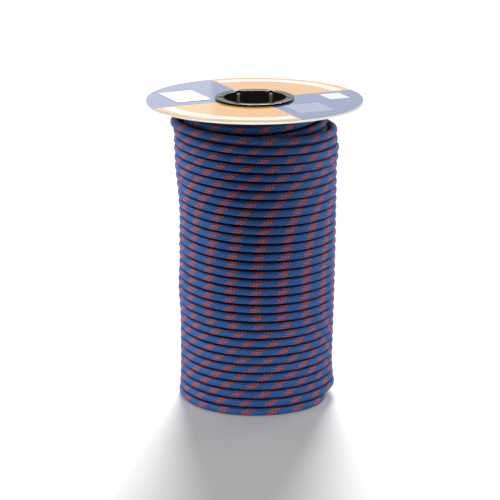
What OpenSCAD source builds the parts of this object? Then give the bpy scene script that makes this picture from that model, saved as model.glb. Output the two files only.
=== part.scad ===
// Reel of dynamic climbing rope: a cardboard core tube with one pressboard flange,
// plastic spindle hubs and a kernmantle rope wound round it in layers.
// It stands upright on the open end of the tube. Millimetres, +Z up, floor at z = 0,
// reel axis on the Z axis, front at -Y. Turns descend from left to right across the front.

/* [Reel] */
// Height from the floor to the flange's underside
reel_h = 337; // [250:1:342]
// Flange diameter
flange_d = 240; // [210:1:300]
// Flange thickness
flange_t = 2.6; // [1.5:0.1:5]
// Clearance between the flange's hole and the hub sleeve, on the diameter
flange_hole_clear = 1; // [0.4:0.1:2]

/* [Core tube] */
// Bore diameter of the core tube
tube_bore_d = 76.4; // [66:0.2:80]
// Wall of the core tube
tube_wall = 12.3; // [6:0.1:16]

/* [Hubs] */
// Diameter of the hub's collar
collar_d = 87; // [81:0.5:98]
// Thickness of the hub's collar
collar_t = 2.2; // [1.5:0.1:4]
// Chamfer on the collar's outer edge
collar_chamfer = 0.6; // [0.2:0.1:1]
// Wall of the hub's sleeve
sleeve_wall = 3.9; // [2:0.1:6]
// Depth of the sleeve below its collar
sleeve_len = 32; // [15:1:60]
// Press clearance between the sleeve and the tube, on the radius
sleeve_fit = 0.1; // [0.05:0.05:0.3]
// Number of slots that part the sleeve into fingers
finger_slots = 6; // [4:1:8]
// Width of each slot
slot_w = 6; // [3:0.5:7]
// Share of the collar's rim, outside the sleeve, that each slot runs into
slot_reach = 0.28; // [0.1:0.02:0.6]
// Taper at the sleeve's leading end
sleeve_taper = 1.2; // [0.4:0.1:1.8]

/* [Label] */
// Bare edge of the flange left round the printed paper label
label_margin = 0.6; // [0.4:0.1:20]
// Thickness of the label
label_t = 0.3; // [0.1:0.05:0.5]
// Turn of the label about the reel's axis
label_turn = 25; // [0:1:90]
// Gap between the hub's collar and the blank write-on sticker
sticker_hub_gap = 7.8; // [4:0.2:16]
// Gap between the sticker and the label's outer edge
sticker_edge_gap = 14.2; // [8:0.2:20]
// Width of the blank write-on sticker
sticker_w = 40; // [20:1:42]
// Thickness of the sticker
sticker_t = 0.2; // [0.1:0.05:0.4]
// Bearing of the sticker's centre from the label's own axis
sticker_bearing = 146; // [120:1:150]

/* [Rope] */
// Rope diameter
rope_d = 9.2; // [8.6:0.1:9.8]
// Gap between neighbouring turns of the outer layer
turn_gap = 0.65; // [0.62:0.01:1]
// Number of layers wound on the tube
layers = 4; // [3:1:4]
// Rise of the centreline from one layer to the next
layer_step = 8.55; // [8:0.05:10]
// Loose fit of the wound rope round the tube
tube_fit = 0.5; // [0.4:0.1:1]

/* [Outer layer] */
// Growth of the outer layer's radius from the lowest turn to the highest
top_flare = 4.2; // [0:0.1:6]
// Extra radius of the lowest turn
foot_flare = 2; // [0:0.1:3]
// Slope of the lowest turn to the level, falling to the right
foot_slope = -0.03; // [-0.04:0.005:0]
// Slope of the highest turn to the level, falling to the right
head_slope = 0.03; // [0:0.005:0.04]
// Extra radius where the first outer turn comes out over the layer below
bulge = 4.5; // [0:0.1:6]

/* [Free end] */
// Bearing at which the lowest turn dives inwards, from the front towards the right
dive_bearing = 50; // [30:1:60]
// Arc that the dive takes
dive_arc = 34; // [28:1:40]
// Arc spanned by the straight end of the rope
end_arc = 19; // [18:1:22]
// Length of the shrink band on the rope's end
band_len = 18; // [10:1:20]
// Wall of the shrink band
band_wall = 0.45; // [0.3:0.05:0.8]
// Gap between the band and the rope
band_clear = 0.05; // [0.02:0.01:0.1]
// Length of the heat-sealed tip
tip_len = 3; // [2:0.5:5]

/* [Start of the winding] */
// Width of the tape that holds the rope's start on the tube
tape_w = 50; // [20:1:80]
// Thickness of that tape
tape_t = 0.2; // [0.1:0.05:0.3]
// Height of the tape's lower edge
tape_z = 12; // [5:1:60]

/* [Hidden] */

$fn = 96;
eps = 0.01;                     // overshoot of a cut past the face it opens
root = 1;                       // depth to which an added block runs into its own piece
seat = 0.3;                     // gap between soft surfaces that rest on each other
rings = 20;                     // sections of the rope in one turn
sides = 6;                      // sides of the rope's section
foot_turns = 4;                 // turns over which the foot's extra radius dies away
tip_room = 9;                   // arc left free past the rope's straight end

tube_r = tube_bore_d / 2 + tube_wall;
bore_r = tube_bore_d / 2 - sleeve_fit - sleeve_wall;
flange_hole_r = tube_bore_d / 2 + flange_hole_clear / 2;
flange_top = reel_h + flange_t;
label_top = flange_top + label_t;
label_r = flange_d / 2 - label_margin;
sticker_len = label_r - collar_d / 2 - sticker_hub_gap - sticker_edge_gap;
sticker_mid = collar_d / 2 + sticker_hub_gap + sticker_len / 2;

// The rope's section is a hexagon as large in area as the round rope, flat above and below.
rope_r = rope_d / 2;
ring_r = rope_r * sqrt(PI / (3 * sqrt(3) / 2));
ring_half_h = ring_r * cos(180 / sides);
pitch = rope_d + turn_gap;

// Centreline radii: the outer layer at its narrowest and widest, and the layer under it.
outer_r = tube_r + rope_r + (layers - 1) * layer_step;
outer_top_r = outer_r + top_flare;
chord_dip = outer_top_r * (1 - cos(180 / rings));
under_r = outer_top_r - 2 * ring_r - tube_fit;
shelf_r = under_r - ring_r - chord_dip - seat;
core_foot_r = outer_r - ring_r - chord_dip - seat;
core_head_r = min(outer_top_r - ring_r - chord_dip - seat, core_foot_r + top_flare);

// The outer layer climbs backwards from its free end, one pitch in each turn.
full_turns = round((reel_h - rope_d) / pitch) - 2;
outer_arc = 90 + dive_bearing + 360 * full_turns;
function outer_share(a) = a / outer_arc;
function outer_radius(a) = outer_r + top_flare * outer_share(a)
    + foot_flare * pow(max(0, 1 - a / (360 * foot_turns)), 2);
function turn_slope(a) = foot_slope + (head_slope - foot_slope) * outer_share(a);
function raw_height(a) = pitch * a / 360 - turn_slope(a) * outer_radius(a) * sin(dive_bearing - a);
lowest = min([for (a = [0 : 10 : 360]) raw_height(a)]);
function outer_height(a) = rope_r + seat + raw_height(a) - lowest;

// Under it the next layer drops away from the flange: a steep ramp to the right of the
// front, and a gentle fall over the rest of each turn.
ramp_arc = 95;
ramp_share = 0.88;
first_drop = 3.5;
under_top = reel_h - rope_r - seat;
under_arc = 620;
function ramp(b) = min(1, b / ramp_arc);
function under_fall(b) = first_drop * ramp(b)
    + pitch * (floor(b / 360) + ramp_share * ramp(b % 360) + (1 - ramp_share) * (b % 360) / 360);
function under_height(b) = under_top - under_fall(b);
shelf_top = under_height(under_arc) - ring_r - seat;

// Between the two it crosses outwards under the flange, then comes down at the left.
cross_arc = 270 - ramp_arc;
cross_out = 0.45;
cross_level = 0.3;
bulge_arc = 60;
function clamp01(t) = max(0, min(1, t));
function ease(t) = clamp01(t) * clamp01(t) * (3 - 2 * clamp01(t));
function cross_radius(c) = under_r + (outer_top_r - under_r) * ease(c / cross_out);
function cross_height(c) = under_top
    + (outer_height(outer_arc) - under_top) * ease((c - cross_level) / (1 - cross_level));
function bulge_at(w) = let (off = abs(w - under_arc - cross_arc) / bulge_arc)
    off < 1 ? bulge * (1 + cos(180 * off)) / 2 : 0;

// Tucked free end, clear of the shelf beside it and of the floor under its band.
band_r = ring_r + band_clear + band_wall;
end_height = band_r + seat;
end_r = (shelf_r + band_r + seat) / cos(end_arc / 2);
dive_end = dive_bearing + dive_arc;
foot_shelf = end_height + band_r + seat;
foot_gap_arc = dive_arc + end_arc + tip_room;

// A point at a bearing from the front, towards the right, on a radius and at a height.
function spot(bearing, r, z) = [r * sin(bearing), -r * cos(bearing), z];
function dive_spot(t) = spot(dive_bearing + dive_arc * t,
    outer_radius(0) + (end_r - outer_radius(0)) * ease(t),
    outer_height(0) + (end_height - outer_height(0)) * ease(t));

// Whole path of the visible rope, w degrees on from the start of the layer below.
w_cross = under_arc;
w_outer = under_arc + cross_arc;
w_dive = w_outer + outer_arc;
start_bearing = ramp_arc - under_arc;
function path_spot(w) =
    w < w_cross ? spot(start_bearing + w, under_r, under_height(under_arc - w)) :
    w < w_outer ? let (c = (w - w_cross) / cross_arc)
        spot(start_bearing + w, cross_radius(c) + bulge_at(w), cross_height(c)) :
    w < w_dive ? let (a = w_dive - w)
        spot(start_bearing + w, outer_radius(a) + bulge_at(w), outer_height(a)) :
    dive_spot((w - w_dive) / dive_arc);
function unit(v) = v / norm(v);
function path_way(w) = unit(path_spot(w + 0.5) - path_spot(w - 0.5));
function start_way(w) = unit([-path_spot(w).y, path_spot(w).x, 0]);

ring_step = 360 / rings;
split_w = ring_step * floor(w_dive / 2 / ring_step);
upper_steps = [for (w = [ring_step : ring_step : split_w - ring_step / 2]) w];
lower_steps = [for (w = [split_w + ring_step : ring_step : w_dive - ring_step / 2]) w];
dive_steps = 4;
end_from = spot(dive_end, end_r, end_height);
end_to = spot(dive_end + end_arc, end_r, end_height);
end_way = unit(end_to - end_from);

upper_path = concat(
    [path_spot(0), path_spot(0) + rope_d * start_way(0)],
    [for (w = upper_steps) path_spot(w)],
    [path_spot(split_w) - rope_d * path_way(split_w), path_spot(split_w)]);
lower_path = concat(
    [path_spot(split_w), path_spot(split_w) + rope_d * path_way(split_w)],
    [for (w = lower_steps) path_spot(w)],
    [for (i = [0 : dive_steps]) dive_spot(i / dive_steps)],
    [end_to]);

// Least gap of a path to itself: only points half a turn or more apart can be neighbours.
function least_gap(path) = let (last = len(path) - 1)
    min([for (i = [0 : last]) for (j = [i + rings / 2 : min(last, i + 3 * rings)])
        norm(path[i] - path[j])]) - rope_d;
echo(least_gap_upper = least_gap(upper_path), least_gap_lower = least_gap(lower_path),
     loops_upper = split_w / 360, loops_lower = (w_dive - split_w) / 360);

// One hexagonal section of the rope: its first corner points away from the reel's axis.
function section(at, way) =
    let (out = unit(cross(cross(way, [at.x, at.y, 0]), way)), up = cross(way, out))
    [for (k = [0 : sides - 1]) at + ring_r * (cos(k * 360 / sides) * out + sin(k * 360 / sides) * up)];
function ways(path, first, last) = let (n = len(path) - 1)
    [for (i = [0 : n]) i == 0 ? first : i == n ? last :
        unit(unit(path[i + 1] - path[i]) + unit(path[i] - path[i - 1]))];

module rope_tube(path, first, last) {
    turns = ways(path, first, last);
    n = len(path);
    points = [for (i = [0 : n - 1]) each section(path[i], turns[i])];
    skin = [for (i = [0 : n - 2]) for (k = [0 : sides - 1])
        let (a = i * sides + k, b = i * sides + (k + 1) % sides)
        each [[a, b, a + sides], [b, b + sides, a + sides]]];
    near_end = [for (k = [1 : sides - 2]) [0, k + 1, k]];
    far = (n - 1) * sides;
    far_end = [for (k = [1 : sides - 2]) [far, far + k, far + k + 1]];
    polyhedron(points, concat(skin, near_end, far_end), convexity = 10);
}

// Washer or pipe from its inner and outer radius and its height.
module pipe(inner, outer, h) {
    difference() {
        cylinder(h = h, r = outer);
        translate([0, 0, -eps]) cylinder(h = h + 2 * eps, r = inner);
    }
}

// A hub with its collar's outer face at z = 0 and its sleeve pointing up.
module hub() {
    sleeve_r = tube_bore_d / 2 - sleeve_fit;
    collar_r = collar_d / 2;
    slot_end_r = sleeve_r + slot_reach * (collar_r - sleeve_r);
    difference() {
        rotate_extrude() polygon([
            [bore_r, 0],
            [collar_r - collar_chamfer, 0],
            [collar_r, collar_chamfer],
            [collar_r, collar_t],
            [sleeve_r, collar_t],
            [sleeve_r, collar_t + sleeve_len - 2 * sleeve_taper],
            [sleeve_r - sleeve_taper, collar_t + sleeve_len],
            [bore_r, collar_t + sleeve_len]]);
        for (i = [0 : finger_slots - 1]) rotate(i * 360 / finger_slots)
            translate([bore_r - sleeve_wall, -slot_w / 2, -eps])
                cube([slot_end_r - bore_r + sleeve_wall, slot_w, collar_t + sleeve_len + 2 * eps]);
    }
}

module core_tube() {
    color("#b08a5e") translate([0, 0, collar_t])
        pipe(tube_bore_d / 2, tube_r, reel_h - collar_t);
}

module top_flange() {
    color("#f2f0e6") translate([0, 0, reel_h])
        pipe(flange_hole_r, flange_d / 2, flange_t);
}

module flange_label() {
    color("#f0a868") translate([0, 0, flange_top])
        pipe(flange_hole_r, label_r, label_t);
}

module write_on_sticker() {
    color("white") translate([0, 0, label_top])
        rotate(label_turn + sticker_bearing) translate([sticker_mid, 0, sticker_t / 2])
            rotate(90 - sticker_bearing) cube([sticker_len, sticker_w, sticker_t], center = true);
}

module top_hub() {
    color("#17181a") translate([0, 0, label_top + collar_t]) mirror([0, 0, 1]) hub();
}

module bottom_hub() {
    color("#17181a") hub();
}

module start_tape() {
    color("#e6dfc8") translate([0, 0, tape_z])
        pipe(tube_r + eps, tube_r + tape_t, tape_w);
}

// The layers under the outer one, as one body: a shelf at its head carries the last
// turns of the layer below, and a gap at its foot holds the tucked end.
module rope_inner_layers() {
    color("#2c4470") {
        rotate_extrude() polygon([
            [tube_r + tube_fit, 0],
            [shelf_r, 0],
            [shelf_r, foot_shelf],
            [core_foot_r, foot_shelf],
            [core_head_r, shelf_top],
            [shelf_r, shelf_top],
            [shelf_r, reel_h - seat],
            [tube_r + tube_fit, reel_h - seat]]);
        rotate(dive_bearing - 90 + foot_gap_arc) rotate_extrude(angle = 360 - foot_gap_arc)
            translate([shelf_r - root, 0])
                square([core_foot_r - seat - shelf_r + root, foot_shelf + root]);
        // Stub of the turn that the upper winding carries on from.
        rotate(start_bearing - 90 - ring_step) rotate_extrude(angle = ring_step)
            translate([shelf_r - root, shelf_top - root])
                square([under_r + ring_half_h - shelf_r + root, path_spot(0).z - shelf_top + root]);
    }
}

module rope_outer_upper() {
    color("#3f6cb0") rope_tube(upper_path, start_way(0), path_way(split_w));
}

module rope_outer_lower() {
    color("#4676bd") rope_tube(lower_path, path_way(split_w), end_way);
}

// Placed on the rope's straight end, with z along the rope and 0 at the rope's last section.
module at_rope_end() {
    translate(end_to) rotate([0, 0, dive_end + end_arc / 2]) rotate([0, 90, 0]) children();
}

module rope_end_band() {
    color("#e8e8e4") at_rope_end() translate([0, 0, -band_len])
        pipe(ring_r + band_clear, band_r, band_len);
}

module rope_end_tip() {
    color("#1c2c4c") at_rope_end() rotate_extrude() polygon([
        [0, 0], [rope_r, 0], [rope_r, tip_len / 2], [rope_r - tip_len / 2, tip_len], [0, tip_len]]);
}

core_tube();
top_flange();
flange_label();
write_on_sticker();
top_hub();
bottom_hub();
start_tape();
rope_inner_layers();
rope_outer_upper();
rope_outer_lower();
rope_end_band();
rope_end_tip();
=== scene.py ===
# %% [markdown]
# # A reel of climbing rope
# The object is a cardboard tube with one round flange on top, a plastic hub in each
# end, and about 60 m of kernmantle rope wound round the tube in four layers.
# The solid model of every part is loaded first and stays as it is. The soft or finely
# shaped parts are then made again here, each in the place that its solid keeps for it.

# %% Load the solid model
import math
import bmesh
import bpy
import numpy as np
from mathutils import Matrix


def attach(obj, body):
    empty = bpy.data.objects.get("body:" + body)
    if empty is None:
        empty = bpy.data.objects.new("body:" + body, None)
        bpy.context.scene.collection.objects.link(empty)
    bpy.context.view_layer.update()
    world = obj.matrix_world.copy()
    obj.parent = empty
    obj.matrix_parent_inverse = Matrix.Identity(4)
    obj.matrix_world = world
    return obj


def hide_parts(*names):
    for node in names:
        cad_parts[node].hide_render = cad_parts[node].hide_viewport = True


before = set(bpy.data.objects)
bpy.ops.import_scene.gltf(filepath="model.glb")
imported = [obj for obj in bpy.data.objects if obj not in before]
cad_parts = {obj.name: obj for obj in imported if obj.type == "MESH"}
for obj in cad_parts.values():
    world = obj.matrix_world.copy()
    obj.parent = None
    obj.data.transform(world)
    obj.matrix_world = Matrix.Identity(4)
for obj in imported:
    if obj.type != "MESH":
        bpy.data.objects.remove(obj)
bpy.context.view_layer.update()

# %% [markdown]
# ## The camera
# A product photographer stands well back with a long lens, a little above the object,
# so that the flange shows as a flat ellipse and the stack of turns hardly tapers.
# A long lens at 2.4 m gives that; the tilt sets how wide the ellipse opens.

# %% Camera
camera_data = bpy.data.cameras.new("studio_camera")
camera_data.lens = 161.31
camera_data.sensor_width = 36
camera = bpy.data.objects.new("studio_camera", camera_data)
camera.location = (-0.00512, -2.4169, 0.8402)
camera.rotation_euler = (math.radians(74.442), 0, 0)
bpy.context.scene.collection.objects.link(camera)
bpy.context.scene.camera = camera
bpy.context.scene.view_settings.view_transform = "Standard"
print("camera lens", camera_data.lens, "mm")

# %% [markdown]
# ## The rope's path
# The rope is one piece from its taped start on the tube to its tucked free end, so it
# is drawn as one long line. It is wound up the tube, down over itself, up again, and
# down once more as the layer that is seen. Each point has a bearing, counted from the
# front towards the right, a distance from the reel's axis and a height.
# The line could be drawn by hand as a curve, but a few numbers that say how a winding
# machine works give every turn its right place, and they are in metres and degrees the
# ones that the solid model is built from.

# %% Sizes of the winding
ROPE_D = 0.0092
ROPE_R = ROPE_D / 2
SEAT = 0.0003
PITCH = ROPE_D + 0.00065
REEL_H = 0.337
TUBE_R = 0.0505
FIT = 0.0005
LAYER_STEP = 0.00855
FIRST_R = TUBE_R + FIT + ROPE_R
OUTER_R = TUBE_R + ROPE_R + 3 * LAYER_STEP
TOP_FLARE = 0.0042
FOOT_FLARE = 0.002
FOOT_TURNS = 4
OUTER_TOP_R = OUTER_R + TOP_FLARE
SOLID_RING_R = ROPE_R * math.sqrt(math.pi / (1.5 * math.sqrt(3)))
UNDER_R = OUTER_TOP_R - 2 * SOLID_RING_R - FIT
UNDER_TOP = REEL_H - ROPE_R - SEAT
FOOT_Z = ROPE_R + SEAT
DIVE_BEARING = 50
DIVE_ARC = 34
END_ARC = 19
OUTER_TURNS = 31
OUTER_ARC = 90 + DIVE_BEARING + 360 * OUTER_TURNS
UNDER_ARC = 620
RAMP_ARC = 95
CROSS_ARC = 270 - RAMP_ARC
START_BEARING = RAMP_ARC - UNDER_ARC
print("outer layer has", round(OUTER_ARC / 360, 1), "turns at", round(PITCH * 1000, 2), "mm")

# %% [markdown]
# ### The layer that is seen
# Its turns lie side by side and tilt a little, because the winder moves sideways while
# it turns. The stack is slightly wider at the top, where the layers press outwards
# under the flange, and flares at the foot, where nothing holds the last turns in.
# Two curves serve for every soft change along the path: one eases from 0 to 1, and
# one swells up around a place and dies away on both sides of it.

# %% Outer layer
FOOT_SLOPE = -0.03
TOP_SLOPE = 0.03


def ease(t):
    """0 before t = 0 and 1 after t = 1, with a smooth change between."""
    t = np.clip(t, 0, 1)
    return t * t * (3 - 2 * t)


def swell(place, middle, reach):
    """1 at the middle, fading to 0 at reach on both sides of it."""
    return (1 + np.cos(np.pi * np.minimum(1, abs(place - middle) / reach))) / 2


def outer_radius(back):
    """Distance from the axis, for degrees back from where the outer layer ends."""
    foot = np.maximum(0, 1 - back / (360 * FOOT_TURNS)) ** 2
    return OUTER_R + TOP_FLARE * back / OUTER_ARC + FOOT_FLARE * foot


def raw_height(back):
    """Height above the end of the layer, with each turn's tilt."""
    slope = FOOT_SLOPE + (TOP_SLOPE - FOOT_SLOPE) * back / OUTER_ARC
    lean = slope * outer_radius(back) * np.sin(np.radians(DIVE_BEARING - back))
    return PITCH * back / 360 - lean


LOWEST = raw_height(np.arange(0, 361, 10)).min()


def outer_height(back):
    """Height above the table, so that the lowest place just stands on it."""
    return FOOT_Z + raw_height(back) - LOWEST


print("outer layer reaches", round(float(outer_height(OUTER_ARC)) * 1000, 1), "mm up")

# %% [markdown]
# ### The last turns of the layer below
# Just under the flange the layer below still shows. There the winder has run out of
# width: each turn lies level against the one above and steps down in one short ramp.
# Behind the reel the rope then climbs outwards over itself and starts the outer layer,
# standing proud where it comes round at the left. Just before that it lands on the
# next turn down: it sinks a little and lifts that turn, so no gap stays between them.

# %% Turns under the flange and the crossing
RAMP_SHARE = 0.88
FIRST_DROP = 0.0035
OUT_BY = 0.45
DOWN_FROM, DOWN_OVER = 0.2, 0.68
CROSS_END = UNDER_ARC + CROSS_ARC
PROUD, PROUD_REACH = 0.0045, 60
LANDING, LANDING_REACH = CROSS_END - 13, 40
LANDING_SINK, LANDING_LIFT = 0.0009, 0.0007
SEEN_ARC = CROSS_END + OUTER_ARC


def under_height(back):
    """Height of the last inner turns, for degrees back from where they end."""
    ramp = np.minimum(1, back / RAMP_ARC)
    ramp_in_turn = np.minimum(1, back % 360 / RAMP_ARC)
    share = RAMP_SHARE * ramp_in_turn + (1 - RAMP_SHARE) * (back % 360) / 360
    return UNDER_TOP - FIRST_DROP * ramp - PITCH * (np.floor(back / 360) + share)


def seen_winding(on):
    """Radius and height, for degrees on from the start of the last inner turns."""
    cross = (on - UNDER_ARC) / CROSS_ARC
    back = np.maximum(0, SEEN_ARC - on)
    top = float(outer_height(OUTER_ARC))
    cross_r = UNDER_R + (OUTER_TOP_R - UNDER_R) * ease(cross / OUT_BY)
    cross_z = UNDER_TOP + (top - UNDER_TOP) * ease((cross - DOWN_FROM) / DOWN_OVER)
    radius = np.where(cross < 0, UNDER_R, np.where(cross < 1, cross_r, outer_radius(back)))
    radius = radius + PROUD * swell(on, CROSS_END, PROUD_REACH) * (on > UNDER_ARC)
    under = under_height(np.maximum(0, UNDER_ARC - on))
    height = np.where(cross < 0, under, np.where(cross < 1, cross_z, outer_height(back)))
    height -= LANDING_SINK * swell(on, LANDING, LANDING_REACH)
    height += LANDING_LIFT * swell(on, LANDING + 360, LANDING_REACH)
    return radius, height


seen = np.arange(0, SEEN_ARC)
seen_r, seen_z = seen_winding(seen)
print("rope that can be seen:", round(float(np.radians(1) * seen_r.sum()), 2), "m")

# %% [markdown]
# ### The hidden layers
# The first layer climbs the tube, the second comes back down over it and the third
# climbs again until it meets the turns just drawn. Between layers the rope rises on to
# the layer it has just made. At the foot of the third layer it steps up early, to
# leave the room in which the free end is tucked.

# %% Hidden layers
HIDDEN_TURNS = 36.4
THIRD_TURNS = 32
RISE_ARC = 60
TUCK_BEARING = 112
TUCK_RISE = 0.0052
TUCK_ARC = 238
LAST_OUT_ARC = 300


def layer_radius(layer, height):
    """Distance from the axis of one of the four layers, at a height."""
    outside = OUTER_R + TOP_FLARE * height / REEL_H
    return FIRST_R + (outside - FIRST_R) * (layer - 1) / 3


def hidden_layers(turns_up, turns_down, turns_again):
    """Radius and height at each degree of the first three layers."""
    up = np.linspace(FOOT_Z, UNDER_TOP, int(360 * turns_up))
    down = np.linspace(UNDER_TOP, FOOT_Z, int(360 * turns_down))
    on = np.arange(int(360 * turns_again))
    room_to_climb = seen_z[0] - FOOT_Z - TUCK_RISE
    again = FOOT_Z + TUCK_RISE * ease(on / TUCK_ARC) + room_to_climb * on / len(on)
    level = np.ones(RISE_ARC)
    height = np.concatenate([up, UNDER_TOP * level, down, FOOT_Z * level, again])
    third = layer_radius(3, again)
    third += (seen_r[0] - third[-1]) * ease((on - len(on) + LAST_OUT_ARC) / LAST_OUT_ARC)
    first, second = layer_radius(1, up), layer_radius(2, down)
    share = ease(np.arange(RISE_ARC) / RISE_ARC)
    at_head = first[-1] + (second[0] - first[-1]) * share
    at_foot = second[-1] + (third[0] - second[-1]) * share
    return np.concatenate([first, at_head, second, at_foot, third]), height


last_climb = THIRD_TURNS + (START_BEARING - TUCK_BEARING - RISE_ARC) % 360 / 360
hidden_r, hidden_z = hidden_layers(HIDDEN_TURNS, HIDDEN_TURNS, last_climb)
print("rope in the hidden layers:", round(float(np.radians(1) * hidden_r.sum()), 2), "m")

# %% [markdown]
# ### The whole line
# The pieces of the path are laid end to end. A rope has no corners, so the radius and
# the height are averaged over a few degrees, which rounds every kink to a soft bend.
# The tension varies while a reel is wound and the layers don't nest evenly, so the
# package isn't a true cylinder: it leans to its right, swells out at some heights on
# either side and spreads at its foot. Each swelling is given as how far it stands out,
# the height of its middle and its reach from there.
# The free end dives inwards under the lowest turn and lies straight.

# %% The whole line
SOFT_REACH = 10
SOLID_FACET = 18
END_STEPS = 18
LEAN = 0.0016
FOOT_SPREAD, FOOT_SPREAD_TOP = 0.0028, 0.045
RIGHT_SWELL = (0.0022, 0.284, 0.017)
LEFT_SWELL = (0.0017, 0.127, 0.037)
LEFT_WAIST = (-0.001, 0.21, 0.035)
SHOULDER, SHOULDER_FROM, SHOULDER_OVER = 0.0024, 0.232, 0.04
SHOULDER_BACK, BACK_FROM, BACK_OVER = 0.0013, 0.305, 0.012


def softened(values, reach):
    """Each value replaced by the mean of its neighbours up to reach away."""
    padded = np.concatenate([np.full(reach, values[0]), values, np.full(reach, values[-1])])
    sums = np.cumsum(np.concatenate([[0], padded]))
    return (sums[2 * reach + 1:] - sums[:-2 * reach - 1]) / (2 * reach + 1)


def end_to_end(*pieces):
    """Pieces of the path laid end to end, averaged twice so that no kink is left."""
    return softened(softened(np.concatenate(pieces), SOFT_REACH), SOFT_REACH)


def spots(bearing, radius, height):
    """Points in space from bearings in degrees, distances from the axis and heights."""
    turn = np.radians(bearing)
    return np.stack([radius * np.sin(turn), -radius * np.cos(turn), height], -1)


def swelling(height, shape):
    """How far one swelling stands out at a height."""
    amount, middle, reach = shape
    return amount * swell(height, middle, reach)


def fuller_right(height, lean):
    """How far the package stands out on its right at a height."""
    spread = FOOT_SPREAD * (1 - ease(height / FOOT_SPREAD_TOP))
    return lean + swelling(height, RIGHT_SWELL) + spread


def fuller_left(height, lean):
    """How far it stands out on its left, which the lean to the right makes less."""
    shoulder = SHOULDER * ease((height - SHOULDER_FROM) / SHOULDER_OVER)
    shoulder -= SHOULDER_BACK * ease((height - BACK_FROM) / BACK_OVER)
    return shoulder - lean + swelling(height, LEFT_SWELL) + swelling(height, LEFT_WAIST)


END_Z = SOLID_RING_R + FIT + SEAT
SAGITTA = OUTER_TOP_R * (1 - math.cos(math.radians(SOLID_FACET / 2)))
SHELF_R = UNDER_R - SOLID_RING_R - SAGITTA - SEAT
END_R = (SHELF_R + END_Z) / math.cos(math.radians(END_ARC / 2))
dive = np.arange(0, DIVE_ARC)
dive_r = outer_radius(0) + (END_R - outer_radius(0)) * ease(dive / DIVE_ARC)
dive_z = outer_height(0) + (END_Z - outer_height(0)) * ease(dive / DIVE_ARC)
all_r = end_to_end(hidden_r, seen_r, dive_r)
all_z = end_to_end(hidden_z, seen_z, dive_z)
first_bearing = START_BEARING - len(hidden_r)
bearings = first_bearing + np.arange(len(all_r))
sideways = np.sin(np.radians(bearings))
lean = LEAN + LEAN * np.sin(np.pi * np.clip(all_z / REEL_H, 0, 1))
fullness = np.where(sideways > 0, fuller_right(all_z, lean), -fuller_left(all_z, lean))
fullness *= np.clip((all_r - FIRST_R) / (OUTER_R - FIRST_R), 0, 1)
fullness[-DIVE_ARC:] *= 1 - ease(dive / DIVE_ARC)
turned = spots(bearings, all_r + fullness * sideways, all_z)
end_from = spots(DIVE_BEARING + DIVE_ARC, END_R, END_Z)
end_to = spots(DIVE_BEARING + DIVE_ARC + END_ARC, END_R, END_Z)
straight = end_from + (end_to - end_from) * np.linspace(0, 1, END_STEPS)[:, None]
rope_line = np.concatenate([turned, straight])
print("rope line has", len(rope_line), "points")

# %% [markdown]
# ## The rope's sheath
# A climbing rope is round, so a ring of points is carried along the line and skinned.
# A curve with a round bevel would do for a plain rope. Here the mesh is made directly,
# because the braid needs a map that is measured along the rope in lays (one lay is the
# distance in which a strand of the braid goes once round) and once around it.
# The seen turns get a ring every 5 mm and the hidden ones every 16 mm, which keeps the
# mesh light.
# A rope twists a little as it is laid on a reel. Below the tenth turn from the foot
# the lay keeps step with the turns, and above it each turn slips by about an eighth of
# a lay. The crossing and the turn that follows it have nothing above them, and there
# the rope is rolled on its own line, so that the side that carries the painted shade
# of a neighbouring turn turns away from its open top.

# %% A tube along the line
LAY = 0.0276
SIDES = 16
HIDDEN_STEP, SEEN_STEP = 0.016, 0.005
FIRST_SLIP, SLIP_PER_TURN, SLIP_FROM_TURN = 0.1, 0.12, 9.3
BARE_ROLL = math.radians(38)
BARE_EASE_ARC = 60


def new_object(name, data):
    """An object in the scene made of a mesh or a lamp."""
    made = bpy.data.objects.new(name, data)
    bpy.context.scene.collection.objects.link(made)
    return made


def unit(rows):
    """Each row scaled to length 1."""
    return rows / np.linalg.norm(rows, axis=-1, keepdims=True)


def run_along(line):
    """The length of a line up to each of its points."""
    return np.concatenate([[0], np.cumsum(np.linalg.norm(np.diff(line, axis=0), axis=1))])


def evenly_along(line, first_step, later_step, change_at):
    """Points along a line, first_step apart up to change_at and later_step apart after it."""
    along = run_along(line)
    before = np.arange(0, change_at, first_step)
    after = np.linspace(change_at, along[-1], int((along[-1] - change_at) / later_step))
    wanted = np.concatenate([before, after])
    return np.stack([np.interp(wanted, along, line[:, k]) for k in range(3)], -1), wanted


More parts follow.
